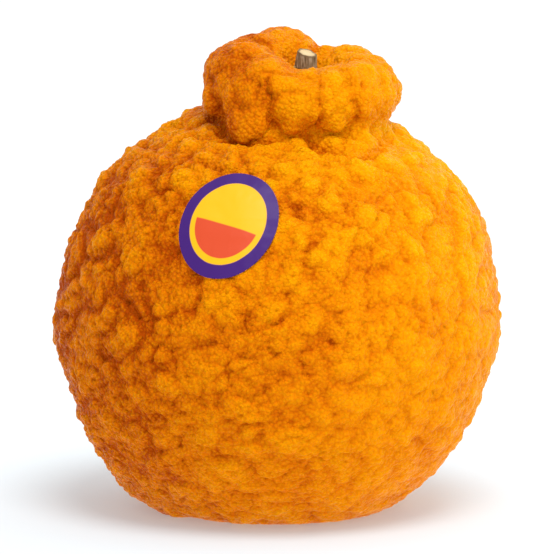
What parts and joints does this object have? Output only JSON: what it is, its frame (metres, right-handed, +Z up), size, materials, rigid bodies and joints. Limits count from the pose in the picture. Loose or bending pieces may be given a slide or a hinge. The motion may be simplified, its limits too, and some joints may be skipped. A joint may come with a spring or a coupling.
{
  "type": "mandarin",
  "caption": "Large fresh mandarin with a lobed knob round its stem, bumpy orange rind, a cut stem stub on its calyx, and a plain oval label; rests on a small flat spot.",
  "frame": {"origin": "middle of the bounding box's bottom, on the small flat that the fruit rests on", "axes": "+Z up towards the stem, which is the longest extent; -Y the front, with the label; +X the front's right, the side the knob leans to"},
  "size_m": [0.0954, 0.0948, 0.1024],
  "materials": {
    "rind": "satin",
    "dry_calyx": "matte",
    "stem_wood": "matte",
    "label_film": "satin"
  },
  "bodies": {
    "root": {"fruit": "rind", "calyx": "dry_calyx", "stem_stub": "stem_wood", "label": "label_film"}
  },
  "joints": []
}
